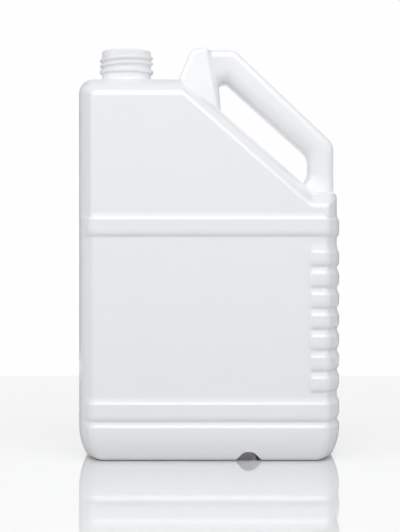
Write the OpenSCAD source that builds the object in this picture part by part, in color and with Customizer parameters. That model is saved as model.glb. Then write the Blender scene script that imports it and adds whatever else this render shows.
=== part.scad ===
// Blow-moulded plastic jerrycan of about 5 litres, open at the neck.
// X runs from the neck side to the handle side, Y from front to back, Z up.
// The origin is on the floor under the middle of the body.

/* [Body] */
// Width over the raised ribs
body_w = 181.9; // [172:0.1:200]
// Depth over the raised ribs
body_d = 130; // [110:1:150]
// Height of the flat top that carries the neck
body_h = 262.3; // [248:0.1:280]
// Height of the low shoulder on the handle side
shoulder_z = 183.5; // [178:0.5:190]
// Where the sloping top starts, measured from the middle
slope_x = -17.1; // [-22:0.1:-12]
// Fall of the sloping top, in degrees
slope_a = 41.3; // [39:0.1:44]
// Wall thickness
wall = 1.5; // [1:0.1:2]

/* [Edges] */
// Radius of the wide soft bevel round the front and back
bevel_r = 80; // [60:1:95]
// How far that bevel turns, in degrees
bevel_a = 30; // [20:1:35]
// Radius of the edge between bevel and face
edge_r = 4.5; // [3.1:0.1:5]
// How far the face is set in at the sides and at the low shoulder
side_in = 11.4; // [9:0.1:14]
// How far the face is set in along the slope
slope_in = 13; // [10:0.1:16]
// How far the face is set in along the top
top_in = 16.7; // [12:0.1:18]
// Radius of the corner beside the neck
corner_r = 10.5; // [6:0.5:14]
// Radius of the bend between top and slope
bend_r = 9; // [4:0.5:14]
// Radius of the hollow between slope and low shoulder
hollow_r = 5; // [2:0.5:9]
// Radius of the corner of the low shoulder
shoulder_r = 6; // [4:0.5:8]

/* [Base] */
// Radius of the curve that draws the walls in at the base
base_r = 44; // [30:0.5:46]
// How far that curve turns, in degrees
base_a = 25; // [15:1:27]
// Width of the flat ring that the can stands on
base_ring_w = 14; // [12:0.5:20]
// Height of the hollow inside that ring
push_up_h = 3; // [1:0.5:5]
// Where the channel across the base lies
channel_x = 26.6; // [10:0.1:45]
// Width of the channel at the floor
channel_w = 19.2; // [14:0.1:26]
// Height of the channel
channel_h = 7.3; // [5:0.1:9]

/* [Ribs] */
// How far ribs and grip pads stand out from the panels
rib_h = 1.3; // [0.8:0.1:1.6]
// Foot of the upper rib
rib_z = 151.8; // [149:0.1:154]
// Height of the upper rib with its bevels
rib_band = 15.5; // [13:0.1:17]
// Foot of the lower rib
low_rib_z = 27; // [26:0.1:29]
// Height of the lower rib with its bevels
low_rib_band = 15.4; // [13:0.1:17]
// Height of the bevel above each rib
rib_up = 4; // [3:0.1:5]
// Height of the bevel below each rib
rib_under = 2.8; // [2:0.1:4]

/* [Grip pads] */
// Number of grip pads on the handle side
pad_n = 7; // [3:1:7]
// Top of the highest pad
pad_top = 145.9; // [144:0.1:147]
// Distance from pad to pad
pad_pitch = 14.35; // [12:0.05:14.5]
// Length of a pad on the front, from the side of the can
pad_l = 23; // [18:0.5:32]
// Height of the bevel on top of a pad
pad_up = 3; // [2:0.1:4]
// Height of the bevel under a pad
pad_under = 2.9; // [2:0.1:4]

/* [Neck] */
// Distance of the neck's axis from the neck side of the can
neck_in = 32.05; // [31:0.05:40]
// Outer radius of the neck
neck_r = 17.5; // [16.5:0.1:18.5]
// Radius of the mouth
mouth_r = 15.5; // [14:0.1:15.8]
// Height of the neck above the flat top
neck_h = 22.7; // [20:0.1:30]
// Height of the collar above the flat top
collar_up = 7.9; // [6:0.1:10]
// Outer radius of the collar
collar_r = 19.1; // [18.8:0.1:20.5]

/* [Handle] */
// Height of the handle above the flat top
handle_up = 22.6; // [21:0.1:30]
// Distance of the handle post from the side of the can
post_in = 2.4; // [1.6:0.1:6]
// Thickness of the post
post_w = 17.9; // [15:0.1:20]
// Width of the grip, front to back
grip_w = 28; // [24:0.5:32]
// Where the outer bend of the grip lies
grip_x = 18.4; // [14:0.1:20]
// Fall of the outer line of the grip, in degrees
grip_a = 43.5; // [42:0.1:45]
// Finger gap between grip and sloping top
finger_gap = 19; // [17:0.1:21]
// Width of the handle pillar at its foot, front to back
pillar_w = 52; // [44:1:58]
// Width of the handle pillar at its top, front to back
pillar_top_w = 43; // [36:1:46]
// Distance from the start of the slope to the finger gap
pillar_l = 24.6; // [22:0.1:26]

/* [Hidden] */
$fn = 48;
hdpe = [0.93, 0.94, 0.95];
half_w = body_w / 2;
half_d = body_d / 2;
// the soft bevel and the edge, as angles of their surface normals
soft = [for (k = [0 : 3]) k * bevel_a / 4];
tight = [for (k = [0 : 3]) bevel_a + k * (90 - bevel_a) / 3];
turns = concat(soft, tight);
edge_in = bevel_r * (1 - cos(bevel_a)) + edge_r * cos(bevel_a);
edge_out = bevel_r * sin(bevel_a) + edge_r * (1 - sin(bevel_a));
// inset of the edge where the face is set in by total, and its depth,
// at a normal angle t and sunk by w below the ribs
function edge_inset(t, w, total) = let (k = total / edge_in, a = min(t, bevel_a))
    k * bevel_r * (1 - cos(a)) + w * cos(a)
    + (t < bevel_a ? 0 : max(k * edge_r - w, 0.2) * (cos(bevel_a) - cos(t)));
function edge_depth(t, w, d) = t < bevel_a
    ? d - edge_out + (bevel_r - w) * sin(t)
    : d - w - max(edge_r - w, 0.3) * (1 - sin(t));

// Lower body: rings in plan, from the floor to just above the upper rib
base_in = base_r * (1 - cos(base_a)) + edge_r * cos(base_a);
base_up = base_r * sin(base_a) + edge_r * (1 - sin(base_a));
base_turns = [90, 59, base_a, base_a / 2, 0];
side_slack = 0.15;
// rows of [height, sink of the panels, sink of the pads, sink of the neck side, inset of the base]
function base_rows(t) = [for (a = base_turns)
    [a < base_a ? base_up - (base_r - t) * sin(a) : edge_r - (edge_r - t) * sin(a), 0, 0, side_slack,
     a < base_a ? base_r - (base_r - t) * cos(a) - t : base_in - (edge_r - t) * cos(a) - t]];
low_rows = [
    [low_rib_z - 3.4, 0, 0, side_slack, 0],
    [low_rib_z, rib_h, rib_h, side_slack, 0],
    [low_rib_z + rib_under, 0, 0, side_slack, 0],
    [low_rib_z + low_rib_band - rib_up, 0, 0, side_slack, 0],
    [low_rib_z + low_rib_band, rib_h, rib_h, side_slack, 0]];
pad_rows = [for (k = [pad_n - 1 : -1 : 0], s = [0 : 2])
    [pad_top - k * pad_pitch - [pad_pitch, pad_pitch - pad_under, pad_up][s], rib_h, s == 0 ? rib_h : 0, side_slack, 0]];
high_rows = [
    [pad_top, rib_h, rib_h, side_slack, 0],
    [rib_z, rib_h, rib_h, side_slack, 0],
    [rib_z + rib_under, 0, 0, side_slack, 0],
    [rib_z + rib_band - rib_up, 0, 0, side_slack, 0],
    [rib_z + rib_band, rib_h, rib_h, 1, 0],
    [rib_z + rib_band + 3, rib_h, rib_h, 1.3, 1]];
function rows(t) = concat(base_rows(t), low_rows, pad_rows, high_rows);
pad_x = half_w - pad_l;
function reversed(v) = [for (k = [len(v) - 1 : -1 : 0]) v[k]];
function mirrored_y(v) = [for (p = reversed(v)) [p[0], -p[1]]];
// one front half of a plan ring, from the neck side to the handle side
function half_ring(r, t) = concat(
    [for (a = turns) let (w = t + (a < bevel_a ? r[3] : r[1]))
        [-half_w + edge_inset(a, w, side_in) + r[4], -edge_depth(a, w, half_d) + r[4]]],
    [[pad_x - 1.2, -half_d + r[1] + t + r[4]], [pad_x + 1.2, -half_d + r[2] + t + r[4]]],
    [for (a = reversed(turns)) let (w = t + r[2])
        [half_w - edge_inset(a, w, side_in) - r[4], -edge_depth(a, w, half_d) + r[4]]]);
function ring(r, t) = let (h = half_ring(r, t)) [for (p = concat(h, mirrored_y(h))) [p[0], p[1], r[0]]];

// skin between rings of n points each, closed by the first and the last ring
module loft(rings) {
    n = len(rings[0]);
    m = len(rings);
    polyhedron(
        points = [for (r = rings, p = r) p],
        faces = concat(
            [for (i = [0 : m - 2], j = [0 : n - 1]) [i * n + j, (i + 1) * n + j, (i + 1) * n + (j + 1) % n]],
            [for (i = [0 : m - 2], j = [0 : n - 1]) [i * n + j, (i + 1) * n + (j + 1) % n, i * n + (j + 1) % n]],
            [[for (j = [0 : n - 1]) j], [for (j = [n - 1 : -1 : 0]) (m - 1) * n + j]]));
}

module lower_body(t) {
    loft([for (r = rows(t)) ring(r, t)]);
}

// Upper body: outlines from front to back, each set in by the edge
join_z = rib_z + rib_band - rib_up - 0.3;
panel_d = half_d - rib_h;
panel_w = half_w - rib_h;
slope_n = [sin(slope_a), cos(slope_a)];
// where the slope, sunk by d, meets the level line at height z
function slope_at(z, d) = slope_x + (cos(slope_a) * (body_h - z) - d) / sin(slope_a);
function arc(c, r, from, to, n) = [for (k = [0 : n]) let (a = from + (to - from) * k / n) c + r * [cos(a), sin(a)]];
// outline set in by i at the sides and the shoulder, by m along the slope and by n along the top
function outline(i, m, n) = let (
        r1 = max(corner_r - n / 2, 3),
        r2 = max(bend_r - m, 2.5),
        r3 = hollow_r + m,
        r4 = max(shoulder_r - i / 4, 3.5))
    concat(
        [[-half_w + i + 2, join_z - 8], [-half_w + i, join_z]],
        arc([-half_w + i + r1, body_h - n - r1], r1, 180, 90, 4),
        arc([slope_at(body_h - n - r2, m + r2), body_h - n - r2], r2, 90, 90 - slope_a, 3),
        arc([slope_at(shoulder_z - i + r3, m - r3), shoulder_z - i + r3], r3, 270 - slope_a, 270, 3),
        arc([panel_w - i - r4, shoulder_z - i - r4], r4, 90, 0, 4),
        [[panel_w - i, join_z - 8]]);
function layer(a, t, side) = [for (p = outline(
        edge_inset(a, t, side_in), edge_inset(a, t, slope_in), edge_inset(a, t, top_in)))
    [p[0], side * edge_depth(a, t, panel_d), p[1]]];

module upper_body(t) {
    loft(concat(
        [for (a = reversed(turns)) layer(a, t, -1)],
        [for (a = turns) layer(a, t, 1)]));
}

// Handle: a grip with its post, and a pillar beside the neck
handle_z = body_h + handle_up;
post_x = half_w - post_in;
pillar_r = 3;
pillar_soft_r = 4;
pillar_z = handle_z + 0.4;
gap_x = slope_x + pillar_l;
grip_inner_a = slope_a + 0.8;
function along(p, a, s) = p + s * [cos(a), -sin(a)];
// corners of the outer and of the inner line of the grip
outer_top = [grip_x, handle_z];
outer_low = [post_x, handle_z - (post_x - grip_x) * tan(grip_a)];
gap_start = [slope_x, body_h] + finger_gap * slope_n + 26.5 * [slope_n[1], -slope_n[0]];
inner_low = [post_x - post_w, gap_start[1] - (post_x - post_w - gap_start[0]) * tan(grip_inner_a)];
inner_top = [gap_x + 3.4, gap_start[1] + (gap_start[0] - gap_x - 3.4) * tan(grip_inner_a)];
// fillet of radius r at corner v, between a line that falls by a and one that falls by b
function bend(v, r, a, b, n) = let (
        s = r * tan((b - a) / 2),
        c = along(v, a, -s) + r * [-sin(a), -cos(a)])
    arc(c, r, 90 - a, 90 - b, n);
outer_line = concat(
    [[slope_x + 9, handle_z], [gap_x - 2, handle_z]],
    bend(outer_top, 8, 0, grip_a, 3),
    bend(outer_low, 10.5, grip_a, 90, 3),
    [[post_x, shoulder_z + 12], [post_x, shoulder_z + 6], [post_x, shoulder_z + 0.5], [post_x, shoulder_z - 7]]);
inner_line = concat(
    [[slope_x + 9, inner_top[1] - 8], [gap_x - 2, inner_top[1] - 5]],
    bend(inner_top, 4.5, -24, grip_inner_a, 3),
    bend(inner_low, 9, grip_inner_a, 90, 3),
    [[post_x - post_w, shoulder_z + 13], [post_x - post_w - 2.2, shoulder_z + 8.5],
     [post_x - post_w - 6, shoulder_z + 3], [post_x - post_w - 9, shoulder_z - 7]]);
half_grip = concat([for (k = [0 : 9]) grip_w / 2], [grip_w / 2, grip_w / 2 + 2, grip_w / 2 + 5, grip_w / 2 + 5.5]);
grip_outer_r = 6.5;
grip_round = [11, 11];
// section of the grip, with tight corners outside and wide elliptic ones towards the fingers
function grip_section(h, w, t) = let (
        o = grip_outer_r - t,
        i = grip_round - [t, t],
        wide = [for (a = [90 : 22.5 : 180]) [-h + t + i[0] * (1 + cos(a)), w - t - i[1] * (1 - sin(a))]])
    concat(
        arc([h - t - o, w - t - o], o, 0, 90, 3),
        wide,
        [for (q = reversed(wide)) [q[0], -q[1]]],
        arc([h - t - o, -w + t + o], o, 270, 360, 3));
function grip_ring(k, t) = let (
        o = outer_line[k],
        i = inner_line[k],
        l = norm(o - i),
        m = (o + i) / 2,
        u = (o - i) / l)
    [for (p = grip_section(l / 2, half_grip[k], t)) let (s = m + u * p[0]) [s[0], p[1], s[1]]];

module grip(t) {
    loft([for (k = [len(outer_line) - 1 : -1 : 0]) grip_ring(k, t)]);
}

// corners of the pillar as [x, half width, z, radius]: soft beside the neck, tighter beside the gap
pillar_corners = let (foot = pillar_w / 2, head = pillar_top_w / 2, r = pillar_r, R = pillar_soft_r) [
    [slope_x - 9.9 + R, foot + 2 - R, body_h - 14, R],
    [gap_x - 1.5, foot + 2 - r, body_h - 34, r],
    [slope_x + 1.7 + R, head - R, pillar_z - 8.8, R],
    [slope_x + 3.8 + R, head - 1 - R, pillar_z - 0.7 - R, R],
    [slope_x + 7.6 + R, head - 1 - R, pillar_z - R, R],
    [slope_x + 13.9, head - 1 - r, pillar_z - r, r],
    [slope_x + 17.4, head / 2 - 1, handle_z - r - 0.2, r],
    [gap_x - 3.2, 8, body_h - 4, r],
    [gap_x - 1, 8, body_h - 34, r]];

module pillar(t) {
    hull() for (c = pillar_corners, side = [-1, 1])
        translate([c[0], side * c[1], c[2]]) sphere(c[3] - t, $fn = 16);
}

// Neck, still solid, with its collar
neck_x = -half_w + neck_in;
rim_z = body_h + neck_h;
collar_z = body_h + collar_up;

module neck() {
    translate([neck_x, 0, 0]) rotate_extrude() polygon([
        [0, body_h - 10], [neck_r + 2, body_h - 10], [neck_r + 2, body_h - 0.4], [neck_r + 0.8, body_h + 0.7],
        [neck_r, body_h + 2.4], [neck_r, collar_z - 1.8], [collar_r, collar_z - 0.7], [collar_r, collar_z + 0.7],
        [neck_r, collar_z + 1.8], [neck_r, rim_z - 0.8], [neck_r - 0.8, rim_z], [0, rim_z]]);
}

// Base: the shallow hollow inside the standing ring, and the channel
foot_x = half_w - base_in - base_ring_w;
foot_y = half_d - base_in - base_ring_w;

module push_up(t) {
    hull() {
        translate([0, 0, push_up_h + t - 0.05]) cube([2 * (foot_x - 2 + t), 2 * (foot_y - 2 + t), 0.1], center = true);
        translate([0, 0, -1]) cube([2 * (foot_x + 1 + t), 2 * (foot_y + 1 + t), 0.1], center = true);
    }
}

module channel(t) {
    h = channel_h + t;
    w = channel_w / 2 + t;
    translate([channel_x, half_d + 5, 0]) rotate([90, 0, 0]) linear_extrude(body_d + 10) polygon([
        [-w - 1, -1], [w + 1, -1], [w, 0], [w * 0.8, h * 0.18], [w * 0.69, h * 0.5], [w * 0.5, h * 0.82],
        [w * 0.25, h], [-w * 0.25, h], [-w * 0.5, h * 0.82], [-w * 0.69, h * 0.5], [-w * 0.8, h * 0.18], [-w, 0]]);
}

module inside() {
    difference() {
        union() {
            lower_body(wall);
            upper_body(wall);
        }
        push_up(wall);
        channel(wall);
    }
    pillar(wall);
    grip(wall);
    translate([neck_x, 0, body_h - 10]) cylinder(r = mouth_r, h = neck_h + 20);
}

module jerrycan() {
    color(hdpe) difference() {
        union() {
            lower_body(0);
            upper_body(0);
            pillar(0);
            grip(0);
            neck();
        }
        inside();
        push_up(0);
        channel(0);
    }
}

jerrycan();
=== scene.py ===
"""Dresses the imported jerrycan.

One blow-moulded shell carries the body, the ribs, the grip pads, the open screw neck and the hollow handle.
All sizes are in millimetres until a mesh is made, and in metres from there on.
"""

import logging
import math
from dataclasses import dataclass
from enum import Enum

import bmesh
import bpy
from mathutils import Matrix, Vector

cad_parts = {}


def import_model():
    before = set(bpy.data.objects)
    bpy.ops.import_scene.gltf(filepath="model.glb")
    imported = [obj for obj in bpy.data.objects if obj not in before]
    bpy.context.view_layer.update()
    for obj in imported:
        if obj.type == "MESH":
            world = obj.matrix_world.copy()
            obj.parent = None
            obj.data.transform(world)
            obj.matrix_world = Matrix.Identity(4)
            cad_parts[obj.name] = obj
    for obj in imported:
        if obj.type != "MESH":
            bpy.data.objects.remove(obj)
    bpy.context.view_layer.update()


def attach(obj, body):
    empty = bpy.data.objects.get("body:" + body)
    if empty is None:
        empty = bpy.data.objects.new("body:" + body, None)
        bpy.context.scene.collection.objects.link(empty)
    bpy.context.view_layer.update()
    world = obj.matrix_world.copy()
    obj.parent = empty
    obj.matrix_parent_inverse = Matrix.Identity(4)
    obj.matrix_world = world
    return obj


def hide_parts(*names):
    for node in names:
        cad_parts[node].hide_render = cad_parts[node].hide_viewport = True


MM = 0.001
BODY = "root"
NODE = "jerrycan"

log = logging.getLogger("jerrycan")

Point2 = tuple[float, float]
Point3 = tuple[float, float, float]
Ring = list[Point3]


class Join(Enum):
    """How one solid is combined with another."""

    ADD = "UNION"
    CUT = "DIFFERENCE"


# Small helpers: curves, lofts and Booleans


def ease(s: float) -> float:
    """Returns a soft step from 0 to 1 as s goes from 0 to 1."""
    s = min(max(s, 0.0), 1.0)
    return s * s * (3 - 2 * s)


def spread(low: float, high: float, steps: int) -> list[float]:
    """Returns steps + 1 evenly spaced values from low to high."""
    return [low + (high - low) * k / steps for k in range(steps + 1)]


def arc(centre: Point2, radius: float, start: float, end: float, steps: int) -> list[Point2]:
    """Returns the points of a circular arc.

    Args:
        centre: Centre of the arc.
        radius: Radius of the arc.
        start: First angle in degrees.
        end: Last angle in degrees.
        steps: Number of chords.

    Returns:
        The points from start to end.
    """
    return [
        (centre[0] + radius * math.cos(math.radians(a)), centre[1] + radius * math.sin(math.radians(a)))
        for a in spread(start, end, steps)
    ]


def fillet(before: Point2, corner: Point2, after: Point2, radius: float, steps: int) -> list[Point2]:
    """Rounds one corner of a line.

    Args:
        before: The point before the corner.
        corner: The corner itself.
        after: The point after the corner.
        radius: Radius of the rounding.
        steps: Number of chords.

    Returns:
        The points that replace the corner. A straight corner gives points along the line.
    """
    c = Vector(corner)
    u = (Vector(before) - c).normalized()
    v = (Vector(after) - c).normalized()
    turn = math.pi - u.angle(v)
    if turn < 1e-3:
        return [tuple(c - u * s) for s in spread(-1.5, 1.5, steps)]
    reach = radius * math.tan(turn / 2)
    middle = c + (u + v).normalized() * (radius / math.cos(turn / 2))
    first = c + u * reach - middle
    last = c + v * reach - middle
    points = []
    for k in range(steps + 1):
        s = k / steps
        side = first * math.sin((1 - s) * turn) + last * math.sin(s * turn)
        points.append(tuple(middle + side / math.sin(turn)))
    return points


def relief(z: float, keys: list[Point2], soft: float) -> float:
    """Reads a broken line with its corners softened.

    Args:
        z: Height to read at.
        keys: Corners of the line as (height, value), from the lowest up.
        soft: Half the height over which a corner is rounded.

    Returns:
        The softened value.
    """
    samples = 9
    total = 0.0
    for k in range(samples):
        h = z + soft * (2 * k / (samples - 1) - 1)
        if h <= keys[0][0]:
            total += keys[0][1]
        elif h >= keys[-1][0]:
            total += keys[-1][1]
        else:
            for (z0, v0), (z1, v1) in zip(keys, keys[1:], strict=False):
                if z0 <= h <= z1:
                    total += v0 + (v1 - v0) * (h - z0) / (z1 - z0)
                    break
    return total / samples


def lay_down() -> None:
    """Leaves edit mode and deselects everything."""
    if bpy.context.object is not None and bpy.context.object.mode != "OBJECT":
        bpy.ops.object.mode_set(mode="OBJECT")
    bpy.ops.object.select_all(action="DESELECT")


def pick(piece: bpy.types.Object) -> None:
    """Makes one piece the only selected and the active one."""
    lay_down()
    piece.select_set(True)
    bpy.context.view_layer.objects.active = piece


def loft(name: str, rings: list[Ring]) -> bpy.types.Object:
    """Builds a closed skin by extruding a first face from ring to ring.

    Args:
        name: Name of the piece.
        rings: Rings with the same number of points each, in millimetres.

    Returns:
        The closed solid.
    """
    lay_down()
    count = len(rings[0])
    bpy.ops.mesh.primitive_circle_add(vertices=count, radius=1, fill_type="NGON")
    piece = bpy.context.active_object
    piece.name = name
    bpy.ops.object.mode_set(mode="EDIT")
    bpy.ops.mesh.select_mode(type="FACE")
    bpy.ops.mesh.select_all(action="SELECT")
    mesh = bmesh.from_edit_mesh(piece.data)
    mesh.faces.ensure_lookup_table()
    corners = [loop.vert for loop in mesh.faces[0].loops]
    for vert, point in zip(corners, rings[0], strict=True):
        vert.co = Vector(point) * MM
    bmesh.update_edit_mesh(piece.data)
    for before, ring in zip(rings, rings[1:], strict=False):
        bpy.ops.mesh.extrude_region_move()
        mesh = bmesh.from_edit_mesh(piece.data)
        face = mesh.faces.active if mesh.faces.active and mesh.faces.active.select else None
        if face is None:
            face = next(f for f in mesh.faces if f.select)
        corners = [loop.vert for loop in face.loops]
        place = Vector(before[0]) * MM
        start = min(range(count), key=lambda k: (corners[k].co - place).length_squared)
        step = Vector(before[1]) * MM
        ahead = (corners[(start + 1) % count].co - step).length_squared
        back = (corners[(start - 1) % count].co - step).length_squared
        way = 1 if ahead <= back else -1
        for k, point in enumerate(ring):
            corners[(start + way * k) % count].co = Vector(point) * MM
        bmesh.update_edit_mesh(piece.data)
    bpy.ops.mesh.select_all(action="SELECT")
    bpy.ops.mesh.normals_make_consistent(inside=False)
    lay_down()
    return piece


def combine(base: bpy.types.Object, tool: bpy.types.Object, way: Join, keep: bool = False) -> None:
    """Adds a solid to another or cuts it out.

    Args:
        base: The solid that changes.
        tool: The solid that is added or cut out.
        way: Whether it is added or cut out.
        keep: Whether the tool stays in the scene.
    """
    pick(base)
    bpy.ops.object.modifier_add(type="BOOLEAN")
    step = base.modifiers[-1]
    step.operation = way.value
    step.solver = "EXACT"
    step.object = tool
    bpy.ops.object.modifier_apply(modifier=step.name)
    if not keep:
        pick(tool)
        bpy.ops.object.delete()


# Sizes that several pieces share


@dataclass(frozen=True)
class SoftEdge:
    """The wide soft bevel and the tighter edge that run round the front and the back."""

    bevel_r: float = 80.0
    bevel_a: float = 30.0
    edge_r: float = 5.4
    side_in: float = 14.8
    slope_in: float = 13.0
    top_in: float = 16.7

    def turns(self, soft: int, tight: int) -> list[float]:
        """Returns the angles of the surface normal, from the side to the face."""
        return spread(0, self.bevel_a, soft)[:-1] + spread(self.bevel_a, 90, tight)

    def inset(self, turn: float, sink: float, total: float) -> float:
        """Returns how far the skin has drawn in at a normal angle.

        Args:
            turn: Angle of the surface normal, 0 on the side and 90 on the face.
            sink: Depth below the outer skin.
            total: How far the face is set in from this side.

        Returns:
            The distance from the side's outermost line.
        """
        b = math.cos(math.radians(self.bevel_a))
        share = total / (self.bevel_r * (1 - b) + self.edge_r * b)
        a = math.cos(math.radians(min(turn, self.bevel_a)))
        drawn = share * self.bevel_r * (1 - a) + sink * a
        if turn < self.bevel_a:
            return drawn
        return drawn + max(share * self.edge_r - sink, 0.2) * (b - math.cos(math.radians(turn)))

    def depth(self, turn: float, sink: float, half: float) -> float:
        """Returns the distance from the middle plane at a normal angle."""
        b = math.radians(self.bevel_a)
        if turn < self.bevel_a:
            reach = self.bevel_r * math.sin(b) + self.edge_r * (1 - math.sin(b))
            return half - reach + (self.bevel_r - sink) * math.sin(math.radians(turn))
        return half - sink - max(self.edge_r - sink, 0.3) * (1 - math.sin(math.radians(turn)))


@dataclass(frozen=True)
class CanSizes:
    """The outer sizes of the can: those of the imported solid, with the panels sunk 0.4 mm deeper."""

    body_w: float = 181.9
    body_d: float = 130.0
    body_h: float = 262.3
    shoulder_z: float = 183.5
    slope_x: float = -17.1
    slope_a: float = 41.3
    wall: float = 1.5
    rib_h: float = 1.7
    rib_z: float = 151.8
    rib_band: float = 15.5

    @property
    def half_w(self) -> float:
        """Returns half the width over the ribs."""
        return self.body_w / 2

    @property
    def half_d(self) -> float:
        """Returns half the depth over the ribs."""
        return self.body_d / 2


# Lower body


@dataclass
class LowerBody:
    """The ribbed lower body: plan rings from the floor to just above the upper rib."""

    sizes: CanSizes
    edge: SoftEdge
    base_r: float = 44.0
    base_a: float = 25.0
    base_edge_r: float = 4.5
    low_rib_z: float = 26.7
    low_rib_band: float = 16.3
    rib_up: float = 4.4
    rib_under: float = 4.8
    pad_n: int = 7
    pad_top: float = 145.1
    pad_pitch: float = 14.12
    pad_l: float = 22.4
    pad_up: float = 4.4
    pad_under: float = 5.2
    first_pad_more: float = 1.6
    pad_step: float = 1.3
    side_slack: float = 0.15
    soft: float = 0.4

    @staticmethod
    def roll(valley: float, height: float) -> list[Point2]:
        """Returns the underside of a rib or a pad, steep at its valley and rolling into its crest."""
        return [(valley, 0), (valley + 0.36 * height, 0.75), (valley + 0.68 * height, 0.94), (valley + height, 1)]

    @staticmethod
    def cove(top: float, height: float) -> list[Point2]:
        """Returns the upper side of a rib or a pad, steepest where it meets its crest."""
        return [(top - height, 1), (top - 0.8 * height, 0.6), (top - 0.42 * height, 0.24), (top, 0)]

    def bands(self) -> list[Point2]:
        """Returns the corners of the ribs' profile, 1 on a crest and 0 on a panel."""
        low = self.low_rib_z
        high = self.sizes.rib_z
        return (
            self.cove(low, self.rib_up - 0.8)
            + self.roll(low + 0.01, self.rib_under)
            + self.cove(low + self.low_rib_band, self.rib_up)
            + self.roll(high - 0.4, self.rib_under)
            + self.cove(high + self.sizes.rib_band + 0.4, self.rib_up)
        )

    def pads(self) -> list[Point2]:
        """Returns the corners of the grip pads' profile, 1 on a crest and 0 in a valley."""
        keys = []
        for k in range(self.pad_n - 1, -1, -1):
            top = self.pad_top - k * self.pad_pitch
            more = self.first_pad_more if k == 0 else 0
            keys += self.roll(top - self.pad_pitch + 0.01, self.pad_under)
            keys += self.cove(top + more, self.pad_up + more)
        return keys

    def heights(self, fine: int) -> list[float]:
        """Returns the heights of the rings above the base curve.

        Args:
            fine: Rings for each millimetre of the profile.

        Returns:
            The heights from the lowest up.
        """
        top = self.sizes.rib_z + self.sizes.rib_band + 3
        low = self.low_rib_z - self.rib_up - 0.4
        marks = spread(low, top - 1.8, round((top - 1.8 - low) * fine))
        flat = (self.pad_top + 2.6, self.sizes.rib_z - 1.4)
        return [z for z in marks if not flat[0] < z < flat[1]] + [top]

    def base_rows(self, sink: float, fine: int) -> list[Point2]:
        """Returns height and inset of the rings of the base curve, from the floor up."""
        r = self.base_edge_r
        b = math.radians(self.base_a)
        inset = self.base_r * (1 - math.cos(b)) + r * math.cos(b)
        rise = self.base_r * math.sin(b) + r * (1 - math.sin(b))
        rows = []
        for turn in spread(90, self.base_a, 2 * fine)[:-1]:
            a = math.radians(turn)
            rows.append((r - (r - sink) * math.sin(a), inset - (r - sink) * math.cos(a) - sink))
        for turn in spread(self.base_a, 0, 2 * fine):
            a = math.radians(turn)
            rows.append((
                rise - (self.base_r - sink) * math.sin(a),
                self.base_r - (self.base_r - sink) * math.cos(a) - sink,
            ))
        return rows

    def ring(self, z: float, inset: float, sink: float, turns: list[float], top: bool) -> Ring:
        """Returns one plan ring.

        Args:
            z: Height of the ring.
            inset: How far the whole ring is drawn in.
            sink: Depth below the outer skin.
            turns: Normal angles of the edge's points.
            top: Whether this is the hidden last ring.

        Returns:
            The points, from the neck side round the front to the handle side and back.
        """
        s = self.sizes
        crest = relief(z, self.bands(), self.soft)
        pad = max(crest, relief(z, self.pads(), self.soft))
        panel_sink = s.rib_h * (1 - crest)
        pad_sink = s.rib_h * (1 - pad)
        join = s.rib_z + s.rib_band - 4
        side_sink = s.rib_h if top else self.side_slack + max(z - join, 0) * 0.21
        half = []
        for turn in turns:
            mix = ease((turn - 0.8 * self.edge.bevel_a) / (0.2 * self.edge.bevel_a))
            w = sink + side_sink * (1 - mix) + panel_sink * mix
            half.append((
                -s.half_w + self.edge.inset(turn, w, self.edge.side_in) + inset,
                -self.edge.depth(turn, w, s.half_d) + inset,
            ))
        pad_x = s.half_w - self.pad_l
        for step in spread(-self.pad_step, self.pad_step, 4):
            mix = ease((step + self.pad_step) / (2 * self.pad_step))
            w = sink + panel_sink * (1 - mix) + pad_sink * mix
            half.append((pad_x + step, -s.half_d + w + inset))
        for turn in reversed(turns):
            w = sink + pad_sink
            half.append((
                s.half_w - self.edge.inset(turn, w, self.edge.side_in) - inset,
                -self.edge.depth(turn, w, s.half_d) + inset,
            ))
        return [(x, y, z) for x, y in half] + [(x, -y, z) for x, y in reversed(half)]

    def build(self, name: str, sink: float, fine: int) -> bpy.types.Object:
        """Builds the lower body.

        Args:
            name: Name of the piece.
            sink: Depth below the outer skin.
            fine: Fineness of the curves.

        Returns:
            The closed solid.
        """
        turns = self.edge.turns(4 * fine, 3 * fine)
        base = self.base_rows(sink, fine + 1)
        rings = [self.ring(z, inset, sink, turns, False) for z, inset in base]
        heights = [z for z in self.heights(fine) if z > base[-1][0] + 0.5]
        rings += [self.ring(z, 0, sink, turns, False) for z in heights[:-1]]
        rings.append(self.ring(heights[-1], 1, sink, turns, True))
        return loft(name, rings)


# Upper body


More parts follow.
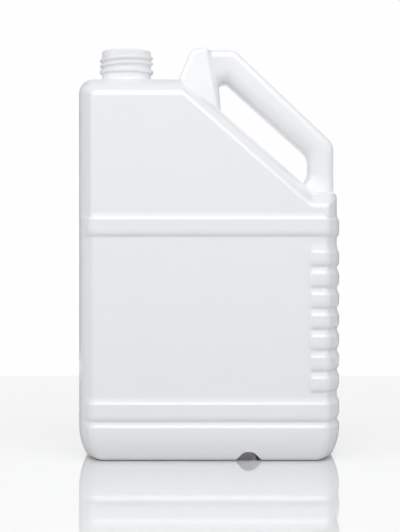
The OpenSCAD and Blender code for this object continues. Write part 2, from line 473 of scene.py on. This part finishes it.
@dataclass
class UpperBody:
    """The upper body with its flat top, its slope and its low shoulder: outlines from front to back."""

    sizes: CanSizes
    edge: SoftEdge
    corner_r: float = 10.5
    bend_r: float = 9.0
    hollow_r: float = 5.0
    shoulder_r: float = 4.2
    shoulder_in: float = 13.0
    end_share: float = 0.86
    rib_up: float = 4.0

    def slope_at(self, z: float, sink: float) -> float:
        """Returns where the slope, sunk below its skin, meets the level line at height z."""
        s = self.sizes
        a = math.radians(s.slope_a)
        return s.slope_x + (math.cos(a) * (s.body_h - z) - sink) / math.sin(a)

    def outline(self, side: float, slope: float, top: float, low: float, fine: int) -> list[Point2]:
        """Returns the outline in the X-Z plane.

        Args:
            side: How far it is set in at the neck side.
            slope: How far it is set in along the slope.
            top: How far it is set in along the flat top.
            low: How far it is set in along the low shoulder, whose end has its share of this.
            fine: Fineness of the curves.

        Returns:
            The points, from the neck side over the top to the handle side.
        """
        s = self.sizes
        join = s.rib_z + s.rib_band - self.rib_up - 0.3
        r1 = max(self.corner_r - 0.55 * top, 1.5)
        r2 = max(self.bend_r - slope, 2.5)
        r3 = self.hollow_r + 0.25 * slope
        r4 = max(self.shoulder_r - 0.2 * low, 1.5)
        left = -s.half_w + side
        right = s.half_w - s.rib_h - self.end_share * low
        bend_z = s.body_h - top - r2
        hollow_z = s.shoulder_z - low + r3
        return (
            [(left + 2, join - 8), (left, join)]
            + arc((left + r1, s.body_h - top - r1), r1, 180, 90, 4 * fine)
            + arc((self.slope_at(bend_z, slope + r2), bend_z), r2, 90, 90 - s.slope_a, 3 * fine)
            + arc((self.slope_at(hollow_z, slope - r3), hollow_z), r3, 270 - s.slope_a, 270, 3 * fine)
            + arc((right - r4, s.shoulder_z - low - r4), r4, 90, 0, 4 * fine)
            + [(right, join - 8)]
        )

    def build(self, name: str, sink: float, fine: int) -> bpy.types.Object:
        """Builds the upper body.

        Args:
            name: Name of the piece.
            sink: Depth below the outer skin.
            fine: Fineness of the curves.

        Returns:
            The closed solid.
        """
        half = self.sizes.half_d - self.sizes.rib_h
        rings = []
        turns = self.edge.turns(4 * fine, 3 * fine)
        for side, row in ((-1, list(reversed(turns))), (1, turns)):
            for turn in row:
                y = side * self.edge.depth(turn, sink, half)
                totals = (self.edge.side_in, self.edge.slope_in, self.edge.top_in, self.shoulder_in)
                insets = [self.edge.inset(turn, sink, total) for total in totals]
                rings.append([(x, y, z) for x, z in self.outline(*insets, fine)])
        return loft(name, rings)


# Handle


@dataclass
class Handle:
    """The hollow handle: a pillar beside the neck and a slanted grip that ends in a post."""

    sizes: CanSizes
    handle_up: float = 22.6
    pillar_up: float = 0.4
    post_in: float = 2.4
    post_w: float = 17.9
    grip_w: float = 28.0
    foot_flare: float = 3.2
    foot_h: float = 16.0
    grip_x: float = 18.4
    grip_a: float = 43.5
    finger_gap: float = 19.0
    pillar_w: float = 52.0
    pillar_top_w: float = 43.0
    pillar_l: float = 24.6
    pillar_r: float = 3.0
    pillar_soft_r: float = 4.0
    outer_r: float = 6.5
    inner_round: Point2 = (11.0, 8.6)

    @property
    def top(self) -> float:
        """Returns the height of the handle's top."""
        return self.sizes.body_h + self.handle_up

    @property
    def gap_x(self) -> float:
        """Returns where the finger gap starts."""
        return self.sizes.slope_x + self.pillar_l

    def lines(self, fine: int) -> tuple[list[Point2], list[Point2]]:
        """Returns the outer and the inner line of the grip in the X-Z plane, point for point."""
        s = self.sizes
        a = math.radians(s.slope_a)
        fall = math.tan(math.radians(s.slope_a + 0.8))
        post_x = s.half_w - self.post_in
        inner_x = post_x - self.post_w
        sz = s.shoulder_z
        start = (
            s.slope_x + self.finger_gap * math.sin(a) + 26.5 * math.cos(a),
            s.body_h + self.finger_gap * math.cos(a) - 26.5 * math.sin(a),
        )
        top_x = self.gap_x + 3.4
        inner_top = (top_x, start[1] + (start[0] - top_x) * fall)
        inner_low = (inner_x, start[1] - (inner_x - start[0]) * fall)
        outer_low = (post_x, self.top - (post_x - self.grip_x) * math.tan(math.radians(self.grip_a)))
        outer = [
            (s.slope_x + 9, self.top), (self.gap_x - 2, self.top), (self.grip_x, self.top), outer_low,
            (post_x, sz + 12), (post_x, sz + 6), (post_x, sz + 0.5), (post_x, sz - 7),
        ]
        inner = [
            (s.slope_x + 9, inner_top[1] - 8), (self.gap_x - 2, inner_top[1] - 5), inner_top, inner_low,
            (inner_x, sz + 13), (inner_x - 2.2, sz + 8.5), (inner_x - 6, sz + 3), (inner_x - 9, sz - 7),
        ]
        outer_radii = [0, 8, 8, 10.5, 8, 8, 8, 0]
        inner_radii = [0, 3, 4.5, 9, 8, 9, 7, 0]
        lines = []
        for corners, radii in ((outer, outer_radii), (inner, inner_radii)):
            line = [corners[0]]
            for k in range(1, len(corners) - 1):
                line += fillet(corners[k - 1], corners[k], corners[k + 1], radii[k], 3 * fine)
            lines.append(line + [corners[-1]])
        return lines[0], lines[1]

    def section(self, outer: Point2, inner: Point2, sink: float, fine: int) -> Ring:
        """Returns the ring of the grip between two points of its outer and inner line."""
        o = Vector((outer[0], 0, outer[1]))
        i = Vector((inner[0], 0, inner[1]))
        middle = (o + i) / 2
        out = (o - i).normalized()
        half = (o - i).length / 2
        foot = self.sizes.shoulder_z + 12
        wide = self.grip_w / 2 + self.foot_flare * ease((foot - middle.z) / self.foot_h)
        post = ease((foot + 24 - middle.z) / 14)
        ro = self.outer_r + 1.9 * post - sink
        long, deep = (r - 2.6 * post - sink for r in self.inner_round)
        towards_fingers = [
            (-half + sink + long * (1 + math.cos(a)), wide - sink - deep * (1 - math.sin(a)))
            for a in spread(math.pi / 2, math.pi, 4 * fine)
        ]
        points = (
            arc((half - sink - ro, wide - sink - ro), ro, 0, 90, 3 * fine)
            + towards_fingers
            + [(u, -v) for u, v in reversed(towards_fingers)]
            + arc((half - sink - ro, -wide + sink + ro), ro, 270, 360, 3 * fine)
        )
        ring = []
        for u, y in points:
            p = middle + out * u
            ring.append((p.x, y, p.z))
        return ring

    def build_grip(self, name: str, sink: float, fine: int) -> bpy.types.Object:
        """Builds the grip and its post as one closed solid."""
        outer, inner = self.lines(fine)
        rings = [self.section(o, i, sink, fine) for o, i in zip(outer, inner, strict=True)]
        return loft(name, rings)

    def build_pillar(self, name: str, sink: float) -> bpy.types.Object:
        """Builds the pillar as the tight skin over its rounded corners."""
        s = self.sizes
        r = self.pillar_r
        soft = self.pillar_soft_r
        foot = self.pillar_w / 2
        head = self.pillar_top_w / 2
        top = self.top + self.pillar_up
        corners = [
            (s.slope_x - 9.9 + soft, foot + 2 - soft, s.body_h - 14, soft),
            (self.gap_x - 1.5, foot + 2 - r, s.body_h - 34, r),
            (s.slope_x + 1.7 + soft, head + 0.8 - soft, top - 8.8, soft),
            (s.slope_x + 3.8 + soft, head - soft, top - 0.7 - soft, soft),
            (s.slope_x + 7.6 + soft, head - 0.6 - soft, top - soft, soft),
            (s.slope_x + 13.9, head - 1 - r, top - r, r),
            (s.slope_x + 17.4, head / 2 - 1, self.top - r - 0.2, r),
            (self.gap_x - 3.2, 8, s.body_h - 4, r),
            (self.gap_x - 1, 8, s.body_h - 34, r),
        ]
        lay_down()
        balls = []
        for x, y, z, radius in corners:
            for side in (-1, 1):
                bpy.ops.mesh.primitive_uv_sphere_add(
                    segments=32, ring_count=16, radius=(radius - sink) * MM,
                    location=(x * MM, side * y * MM, z * MM),
                )
                balls.append(bpy.context.active_object)
        lay_down()
        for ball in balls:
            ball.select_set(True)
        bpy.context.view_layer.objects.active = balls[0]
        bpy.ops.object.join()
        piece = bpy.context.active_object
        piece.name = name
        bpy.ops.object.transform_apply(location=True, rotation=True, scale=True)
        bpy.ops.object.mode_set(mode="EDIT")
        bpy.ops.mesh.select_all(action="SELECT")
        bpy.ops.mesh.convex_hull(delete_unused=True, use_existing_faces=False, join_triangles=False)
        bpy.ops.mesh.select_all(action="SELECT")
        bpy.ops.mesh.normals_make_consistent(inside=False)
        lay_down()
        return piece


# Neck


@dataclass
class Neck:
    """The open screw neck with its collar and its fine thread."""

    sizes: CanSizes
    neck_in: float = 32.05
    neck_r: float = 17.5
    mouth_r: float = 15.5
    neck_h: float = 22.7
    collar_up: float = 7.9
    collar_r: float = 19.1
    thread_up: float = 13.95
    pitch: float = 3.85
    thread_h: float = 1.5
    thread_start: float = -215.0
    thread_end: float = 405.0

    @property
    def axis_x(self) -> float:
        """Returns where the neck's axis stands."""
        return -self.sizes.half_w + self.neck_in

    def turned(self, name: str, profile: list[Point2], steps: int) -> bpy.types.Object:
        """Turns a profile of (radius, height) round the neck's axis."""
        angles = spread(0, 360, steps)[:-1]
        rings = [
            [(self.axis_x + r * math.cos(math.radians(a)), r * math.sin(math.radians(a)), z) for a in angles]
            for r, z in profile
        ]
        return loft(name, rings)

    def build_wall(self, name: str) -> bpy.types.Object:
        """Builds the outer form of the neck, still closed at the top."""
        h = self.sizes.body_h
        rim = h + self.neck_h
        collar = h + self.collar_up
        corners = [
            (self.neck_r + 2.6, h - 10), (self.neck_r + 2.6, h - 0.6), (self.neck_r, h + 2.2),
            (self.neck_r, collar - 1.9), (self.collar_r, collar - 1.0), (self.collar_r, collar + 1.0),
            (self.neck_r, collar + 1.9), (self.neck_r, rim), (self.neck_r - 1.9, rim),
        ]
        radii = [0, 0.5, 1.6, 0.8, 0.8, 0.8, 0.8, 0.9, 0]
        profile = [corners[0]]
        for k in range(1, len(corners) - 1):
            profile += fillet(corners[k - 1], corners[k], corners[k + 1], radii[k], 4)
        return self.turned(name, profile + [corners[-1]], 128)

    def build_thread(self, name: str) -> bpy.types.Object:
        """Builds the raised thread as one closed ridge that fades out at both ends."""
        rings = []
        count = 170
        for k in range(count + 1):
            turn = self.thread_start + (self.thread_end - self.thread_start) * k / count
            a = math.radians(turn)
            z = self.sizes.body_h + self.thread_up + self.pitch * turn / 360
            from_end = min(turn - self.thread_start, self.thread_end - turn)
            high = 0.15 + (self.thread_h - 0.15) * ease(from_end / 40)
            profile = [
                (-0.7, -1.75), (high * 0.2, -1.4), (high * 0.68, -0.95), (high * 0.95, -0.5), (high, 0),
                (high * 0.95, 0.5), (high * 0.68, 0.95), (high * 0.2, 1.4), (-0.7, 1.75),
            ]
            rings.append([
                (
                    self.axis_x + (self.neck_r + u) * math.cos(a),
                    (self.neck_r + u) * math.sin(a),
                    z + v * (0.5 + 0.5 * ease(from_end / 25)),
                )
                for u, v in profile
            ])
        return loft(name, rings)

    def build_mouth(self, name: str) -> bpy.types.Object:
        """Builds the round space of the mouth, a little wider at its lip."""
        h = self.sizes.body_h
        rim = h + self.neck_h
        profile = [(self.mouth_r, h - 10), (self.mouth_r, rim - 0.6)]
        profile += [(self.mouth_r + 0.18, rim - 0.18), (self.mouth_r + 0.7, rim + 0.05), (self.mouth_r + 0.7, rim + 6)]
        return self.turned(name, profile, 128)


# Base


@dataclass
class Base:
    """The hollow under the base and the channel that crosses it."""

    sizes: CanSizes
    inset: float = 8.2
    ring_w: float = 14.0
    push_up_h: float = 3.0
    channel_x: float = 26.6
    channel_w: float = 19.2
    channel_h: float = 6.5

    def build_push_up(self, name: str, sink: float) -> bpy.types.Object:
        """Builds the shallow hollow as a block with soft corners."""
        s = self.sizes
        half_x = s.half_w - self.inset - self.ring_w + sink
        half_y = s.half_d - self.inset - self.ring_w + sink
        lay_down()
        low, high = -2.0, self.push_up_h + sink
        bpy.ops.mesh.primitive_cube_add(size=1, location=(0, 0, (low + high) / 2 * MM))
        piece = bpy.context.active_object
        piece.name = name
        piece.scale = (2 * half_x * MM, 2 * half_y * MM, (high - low) * MM)
        bpy.ops.object.transform_apply(location=True, rotation=True, scale=True)
        bpy.ops.object.mode_set(mode="EDIT")
        bpy.ops.mesh.select_mode(type="EDGE")
        bpy.ops.mesh.select_all(action="DESELECT")
        mesh = bmesh.from_edit_mesh(piece.data)
        for line in mesh.edges:
            line.select_set(abs(line.verts[0].co.z - line.verts[1].co.z) > 0.001)
        bmesh.update_edit_mesh(piece.data)
        bpy.ops.mesh.bevel(offset=9 * MM, segments=6, affect="EDGES")
        bpy.ops.mesh.select_all(action="DESELECT")
        mesh = bmesh.from_edit_mesh(piece.data)
        for line in mesh.edges:
            line.select_set(all(v.co.z > (high - 0.01) * MM for v in line.verts))
        bmesh.update_edit_mesh(piece.data)
        bpy.ops.mesh.bevel(offset=1.6 * MM, segments=4, affect="EDGES")
        bpy.ops.mesh.select_all(action="SELECT")
        bpy.ops.mesh.normals_make_consistent(inside=False)
        lay_down()
        return piece

    def build_channel(self, name: str, sink: float) -> bpy.types.Object:
        """Builds the space of the channel, a bell-shaped arch with flared feet."""
        h = self.channel_h + sink
        w = self.channel_w / 2 + sink
        flank = [
            (1.03, 0), (0.96, 0.09), (0.87, 0.19), (0.78, 0.3), (0.7, 0.43), (0.61, 0.58), (0.51, 0.74),
            (0.41, 0.86), (0.3, 0.94), (0.16, 0.99), (0, 1),
        ]
        right = [(w + 3, -2)] + [(u * w, v * h) for u, v in flank]
        outline = [(-x, z) for x, z in right] + list(reversed(right[:-1]))
        reach = self.sizes.half_d + 5
        return loft(name, [[(self.channel_x + x, y, z) for x, z in outline] for y in (-reach, reach)])


# The whole can


@dataclass(frozen=True)
class HdpeFinish:
    """White high-density polyethylene as it leaves a polished mould."""

    bright: tuple[float, float, float, float] = (0.872, 0.88, 0.892, 1)
    shaded: tuple[float, float, float, float] = (0.86, 0.87, 0.884, 1)
    # Painted shade: a darker colour that the threaded neck is given in place of the shade that falls on it.
    neck_painted_shade: tuple[float, float, float, float] = (0.802, 0.81, 0.822, 1)
    gloss: float = 0.2
    dull: float = 0.26

    def build(self, name: str) -> bpy.types.Material:
        """Builds the material.

        Args:
            name: Name of the material.

        Returns:
            The material, with its colour, gloss and surface from noise on Object coordinates.
        """
        material = bpy.data.materials.new(name)
        material.use_nodes = True
        nodes = material.node_tree.nodes
        links = material.node_tree.links
        shader = next(n for n in nodes if n.type == "BSDF_PRINCIPLED")
        shader.inputs["IOR"].default_value = 1.54
        shader.inputs["Subsurface Weight"].default_value = 0.12
        shader.inputs["Subsurface Radius"].default_value = (0.004, 0.0042, 0.0048)
        place = nodes.new("ShaderNodeTexCoord")

        cloud = nodes.new("ShaderNodeTexNoise")
        cloud.inputs["Scale"].default_value = 14
        cloud.inputs["Detail"].default_value = 3
        links.new(place.outputs["Object"], cloud.inputs["Vector"])
        tone = nodes.new("ShaderNodeMix")
        tone.data_type = "RGBA"
        tone.inputs[6].default_value = self.bright
        tone.inputs[7].default_value = self.shaded
        links.new(cloud.outputs["Fac"], tone.inputs[0])
        split = nodes.new("ShaderNodeSeparateXYZ")
        links.new(place.outputs["Object"], split.inputs["Vector"])
        # Painted shade: above the top, the neck's colour is mixed towards the darker neck colour.
        painted_neck_shade = nodes.new("ShaderNodeMix")
        painted_neck_shade.data_type = "RGBA"
        painted_neck_shade.inputs[7].default_value = self.neck_painted_shade
        links.new(self._neck_painted_shade_mask(nodes, links, split).outputs["Value"], painted_neck_shade.inputs[0])
        links.new(tone.outputs[2], painted_neck_shade.inputs[6])
        links.new(painted_neck_shade.outputs[2], shader.inputs["Base Color"])

        scuff = nodes.new("ShaderNodeTexNoise")
        scuff.inputs["Scale"].default_value = 55
        scuff.inputs["Detail"].default_value = 5
        links.new(place.outputs["Object"], scuff.inputs["Vector"])
        gloss = nodes.new("ShaderNodeMapRange")
        gloss.inputs["From Min"].default_value = 0.3
        gloss.inputs["From Max"].default_value = 0.7
        gloss.inputs["To Min"].default_value = self.gloss
        gloss.inputs["To Max"].default_value = self.dull
        links.new(scuff.outputs["Fac"], gloss.inputs["Value"])
        links.new(gloss.outputs["Result"], shader.inputs["Roughness"])

        grain = nodes.new("ShaderNodeTexNoise")
        grain.inputs["Scale"].default_value = 260
        grain.inputs["Detail"].default_value = 2
        links.new(place.outputs["Object"], grain.inputs["Vector"])
        skin = nodes.new("ShaderNodeBump")
        skin.inputs["Strength"].default_value = 0.12
        skin.inputs["Distance"].default_value = 0.0002
        links.new(grain.outputs["Fac"], skin.inputs["Height"])
        seam = self._parting_line(nodes, links, split)
        line = nodes.new("ShaderNodeBump")
        line.inputs["Strength"].default_value = 0.6
        line.inputs["Distance"].default_value = 0.0003
        links.new(seam.outputs["Result"], line.inputs["Height"])
        links.new(skin.outputs["Normal"], line.inputs["Normal"])
        links.new(line.outputs["Normal"], shader.inputs["Normal"])
        return material

    def _neck_painted_shade_mask(
        self, nodes: bpy.types.Nodes, links: bpy.types.NodeLinks, split: bpy.types.Node
    ) -> bpy.types.Node:
        """Adds the mask of the threaded neck, where a darker colour is painted on as shade."""
        high = nodes.new("ShaderNodeMapRange")
        high.interpolation_type = "SMOOTHSTEP"
        high.inputs["From Min"].default_value = 0.2665
        high.inputs["From Max"].default_value = 0.2695
        links.new(split.outputs["Z"], high.inputs["Value"])
        beside = nodes.new("ShaderNodeMath")
        beside.operation = "LESS_THAN"
        beside.inputs[1].default_value = -0.033
        links.new(split.outputs["X"], beside.inputs[0])
        both = nodes.new("ShaderNodeMath")
        both.operation = "MULTIPLY"
        links.new(high.outputs["Result"], both.inputs[0])
        links.new(beside.outputs["Value"], both.inputs[1])
        return both

    def _parting_line(
        self, nodes: bpy.types.Nodes, links: bpy.types.NodeLinks, split: bpy.types.Node
    ) -> bpy.types.Node:
        """Adds the height of the fine line where the two halves of the mould met."""
        away = nodes.new("ShaderNodeMath")
        away.operation = "ABSOLUTE"
        links.new(split.outputs["Y"], away.inputs[0])
        ridge = nodes.new("ShaderNodeMapRange")
        ridge.interpolation_type = "SMOOTHSTEP"
        ridge.inputs["From Min"].default_value = 0.0001
        ridge.inputs["From Max"].default_value = 0.0005
        ridge.inputs["To Min"].default_value = 1
        ridge.inputs["To Max"].default_value = 0
        links.new(away.outputs["Value"], ridge.inputs["Value"])
        return ridge


@dataclass
class Jerrycan:
    """The whole can as one moulded shell."""

    sizes: CanSizes
    edge: SoftEdge
    low_edge: SoftEdge
    finish: HdpeFinish

    def build_outside(self) -> bpy.types.Object:
        """Builds the outer form as one closed solid."""
        shell = LowerBody(self.sizes, self.low_edge).build("can_shell", 0, 2)
        combine(shell, UpperBody(self.sizes, self.edge).build("upper_body", 0, 2), Join.ADD)
        handle = Handle(self.sizes)
        combine(shell, handle.build_pillar("pillar", 0), Join.ADD)
        combine(shell, handle.build_grip("grip", 0, 3), Join.ADD)
        neck = Neck(self.sizes)
        wall = neck.build_wall("neck_wall")
        combine(wall, neck.build_thread("neck_thread"), Join.ADD)
        combine(shell, wall, Join.ADD)
        return shell

    def build_inside(self) -> bpy.types.Object:
        """Builds the hollow of the can as one closed solid."""
        wall = self.sizes.wall
        hollow = LowerBody(self.sizes, self.low_edge).build("hollow", wall, 1)
        combine(hollow, UpperBody(self.sizes, self.edge).build("upper_hollow", wall, 2), Join.ADD)
        base = Base(self.sizes)
        combine(hollow, base.build_push_up("push_up_wall", wall), Join.CUT)
        combine(hollow, base.build_channel("channel_wall", wall), Join.CUT)
        handle = Handle(self.sizes)
        combine(hollow, handle.build_pillar("pillar_hollow", wall), Join.ADD)
        combine(hollow, handle.build_grip("grip_hollow", wall, 1), Join.ADD)
        combine(hollow, Neck(self.sizes).build_mouth("mouth"), Join.ADD)
        return hollow

    def build(self) -> bpy.types.Object:
        """Builds the shell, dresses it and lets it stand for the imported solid.

        Returns:
            The finished piece.
        """
        shell = self.build_outside()
        log.info("outside: %d faces", len(shell.data.polygons))
        combine(shell, self.build_inside(), Join.CUT)
        base = Base(self.sizes)
        combine(shell, base.build_push_up("push_up", 0), Join.CUT)
        combine(shell, base.build_channel("channel", 0), Join.CUT)
        pick(shell)
        bpy.ops.object.mode_set(mode="EDIT")
        bpy.ops.mesh.select_all(action="SELECT")
        bpy.ops.mesh.remove_doubles(threshold=0.00002)
        lay_down()
        pick(shell)
        bpy.ops.object.shade_smooth_by_angle(angle=math.radians(32))
        bpy.ops.object.modifier_add(type="WEIGHTED_NORMAL")
        weigh = shell.modifiers[-1]
        weigh.keep_sharp = True
        weigh.weight = 60
        bpy.ops.object.modifier_apply(modifier=weigh.name)
        shell.data.materials.clear()
        shell.data.materials.append(self.finish.build("white_hdpe"))
        lay_down()
        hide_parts(NODE)
        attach(shell, BODY)
        return shell


# Studio


@dataclass(frozen=True)
class Softbox:
    """One soft lamp of the studio."""

    name: str
    place: Point3
    aim: Point3
    size: Point2
    power: float
    only_gloss: bool = False

    def build(self) -> None:
        """Adds the lamp, turned towards its aim."""
        data = bpy.data.lights.new(self.name, "AREA")
        data.shape = "RECTANGLE"
        data.size = self.size[0]
        data.size_y = self.size[1]
        data.energy = self.power
        lamp = bpy.data.objects.new(self.name, data)
        bpy.context.collection.objects.link(lamp)
        lamp.visible_diffuse = not self.only_gloss
        lamp.location = self.place
        lamp.rotation_euler = (Vector(self.aim) - Vector(self.place)).to_track_quat("-Z", "Y").to_euler()


@dataclass
class Studio:
    """The floor, the white surround, the lamps and the camera."""

    floor_back: float = 0.70
    eye_z: float = 0.1317
    eye_y: float = -1.040
    eye_x: float = -0.0063
    focal_px: float = 1452.0
    frame_px: float = 532.0
    strip_x: float = 0.42
    strip_y: float = 0.95
    wall_x: float = 0.62
    wall_y: float = 0.25

    def build_floor(self) -> None:
        """Adds the pale glossy table top, whose back edge shows behind the can."""
        lay_down()
        front = -1.6
        bpy.ops.mesh.primitive_plane_add(size=1, location=(0, (self.floor_back + front) / 2, 0))
        floor = bpy.context.active_object
        floor.name = "studio_floor"
        floor.scale = (5.0, self.floor_back - front, 1)
        bpy.ops.object.transform_apply(location=True, rotation=True, scale=True)
        material = bpy.data.materials.new("pale_gloss_table")
        material.use_nodes = True
        nodes = material.node_tree.nodes
        links = material.node_tree.links
        shader = next(n for n in nodes if n.type == "BSDF_PRINCIPLED")
        shader.inputs["Roughness"].default_value = 0.06
        shader.inputs["Coat Weight"].default_value = 0.45
        shader.inputs["Coat Roughness"].default_value = 0.03
        noise = nodes.new("ShaderNodeTexNoise")
        noise.inputs["Scale"].default_value = 3
        place = nodes.new("ShaderNodeTexCoord")
        links.new(place.outputs["Object"], noise.inputs["Vector"])
        tone = nodes.new("ShaderNodeMix")
        tone.data_type = "RGBA"
        tone.inputs[6].default_value = (0.902, 0.902, 0.904, 1)
        tone.inputs[7].default_value = (0.888, 0.888, 0.891, 1)
        links.new(noise.outputs["Fac"], tone.inputs[0])
        rays = nodes.new("ShaderNodeLightPath")
        seen = nodes.new("ShaderNodeMix")
        seen.data_type = "RGBA"
        seen.inputs[6].default_value = (0.55, 0.55, 0.552, 1)
        links.new(rays.outputs["Is Camera Ray"], seen.inputs[0])
        links.new(tone.outputs[2], seen.inputs[7])
        links.new(seen.outputs[2], shader.inputs["Base Color"])
        floor.data.materials.append(material)
        lay_down()

    def build_card(self, name: str, place: Point3, size: Point2, turn: Point3, grey: float) -> None:
        """Adds one matt card that only reflections show.

        Args:
            name: Name of the card.
            place: Centre of the card.
            size: Width and height.
            turn: Its rotation in degrees.
            grey: Its shade, from 0 for black to 1 for white.
        """
        material = bpy.data.materials.new(name + "_matt")
        material.use_nodes = True
        shader = next(n for n in material.node_tree.nodes if n.type == "BSDF_PRINCIPLED")
        shader.inputs["Base Color"].default_value = (grey, grey, grey * 1.02, 1)
        shader.inputs["Roughness"].default_value = 0.9
        lay_down()
        bpy.ops.mesh.primitive_plane_add(size=1, location=place)
        card = bpy.context.active_object
        card.name = name
        card.scale = (size[0], size[1], 1)
        card.rotation_euler = tuple(math.radians(a) for a in turn)
        bpy.ops.object.transform_apply(location=True, rotation=True, scale=True)
        card.data.materials.append(material)
        card.visible_camera = False
        card.visible_diffuse = False
        card.visible_shadow = False
        lay_down()

    def build_cards(self) -> None:
        """Adds the cards, out of the picture, that keep the sides of the can readable."""
        for side, word, grey in ((-1, "left", 0.6), (1, "right", 0.34)):
            self.build_card(
                f"strip_{word}", (side * self.strip_x, self.strip_y, 0.45), (0.24, 0.9), (90, 0, 0), 0.04
            )
            self.build_card(
                f"wall_{word}", (side * self.wall_x, self.wall_y, 0.45), (0.9, 1.4), (0, 90, 0), grey
            )

    def build_surround(self) -> None:
        """Sets the white surround: white to the camera, softer as a light."""
        scene = bpy.context.scene
        world = scene.world or bpy.data.worlds.new("surround")
        scene.world = world
        world.use_nodes = True
        nodes = world.node_tree.nodes
        links = world.node_tree.links
        nodes.clear()
        out = nodes.new("ShaderNodeOutputWorld")
        mix = nodes.new("ShaderNodeMixShader")
        place = nodes.new("ShaderNodeTexCoord")
        height = nodes.new("ShaderNodeSeparateXYZ")
        links.new(place.outputs["Generated"], height.inputs["Vector"])
        horizon = nodes.new("ShaderNodeMapRange")
        horizon.interpolation_type = "SMOOTHSTEP"
        horizon.inputs["From Min"].default_value = 0.25
        horizon.inputs["From Max"].default_value = 0.45
        horizon.inputs["To Min"].default_value = 1
        horizon.inputs["To Max"].default_value = 0.5
        links.new(height.outputs["Z"], horizon.inputs["Value"])
        mirrored = nodes.new("ShaderNodeBackground")
        mirrored.inputs["Color"].default_value = (0.995, 0.995, 0.995, 1)
        links.new(horizon.outputs["Result"], mirrored.inputs["Strength"])
        rays = nodes.new("ShaderNodeLightPath")
        seen = nodes.new("ShaderNodeBackground")
        seen.inputs["Color"].default_value = (0.995, 0.995, 0.995, 1)
        seen.inputs["Strength"].default_value = 1
        light = nodes.new("ShaderNodeBackground")
        light.inputs["Color"].default_value = (0.97, 0.98, 1, 1)
        light.inputs["Strength"].default_value = 0.685
        open_way = nodes.new("ShaderNodeMath")
        open_way.operation = "MAXIMUM"
        links.new(rays.outputs["Is Camera Ray"], open_way.inputs[0])
        links.new(rays.outputs["Is Transmission Ray"], open_way.inputs[1])
        inner = nodes.new("ShaderNodeMixShader")
        links.new(rays.outputs["Is Glossy Ray"], inner.inputs[0])
        links.new(light.outputs[0], inner.inputs[1])
        links.new(mirrored.outputs[0], inner.inputs[2])
        links.new(open_way.outputs["Value"], mix.inputs[0])
        links.new(inner.outputs[0], mix.inputs[1])
        links.new(seen.outputs[0], mix.inputs[2])
        links.new(mix.outputs[0], out.inputs["Surface"])

    def build_lamps(self) -> None:
        """Adds the soft lamps."""
        for lamp in (
            Softbox("high_front", (0.0, -0.95, 1.15), (0, 0, 0.13), (1.6, 1.0), 6.9),
            Softbox("left_fill", (-1.5, -0.7, 0.6), (0, 0, 0.13), (0.7, 1.0), 4.6),
            Softbox("right_fill", (1.5, -0.7, 0.6), (0, 0, 0.13), (0.7, 1.0), 4.0),
            Softbox("edge_light", (0.0, -0.45, 1.25), (0, 0, 0.13), (3.0, 1.0), 23.0, only_gloss=True),
        ):
            lamp.build()

    def build_camera(self) -> None:
        """Adds the level camera at the photograph's viewing angle."""
        data = bpy.data.cameras.new("camera")
        data.sensor_fit = "VERTICAL"
        data.sensor_height = 36
        data.lens = self.focal_px / self.frame_px * 36
        data.clip_start = 0.01
        data.clip_end = 50
        camera = bpy.data.objects.new("camera", data)
        bpy.context.collection.objects.link(camera)
        camera.location = (self.eye_x, self.eye_y, self.eye_z)
        camera.rotation_euler = (math.radians(90), 0, 0)
        bpy.context.scene.camera = camera

    def build(self) -> None:
        """Builds the whole studio."""
        bpy.context.scene.view_settings.view_transform = "Standard"
        self.build_camera()
        self.build_floor()
        self.build_cards()
        self.build_surround()
        self.build_lamps()


def main() -> None:
    """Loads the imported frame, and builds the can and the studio."""
    logging.basicConfig(level=logging.INFO, format="%(name)s: %(message)s")
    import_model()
    Studio().build()
    can = Jerrycan(CanSizes(), SoftEdge(), SoftEdge(edge_r=7.5), HdpeFinish()).build()
    log.info("%s: %d faces", can.name, len(can.data.polygons))


if __name__ == "__main__":
    main()
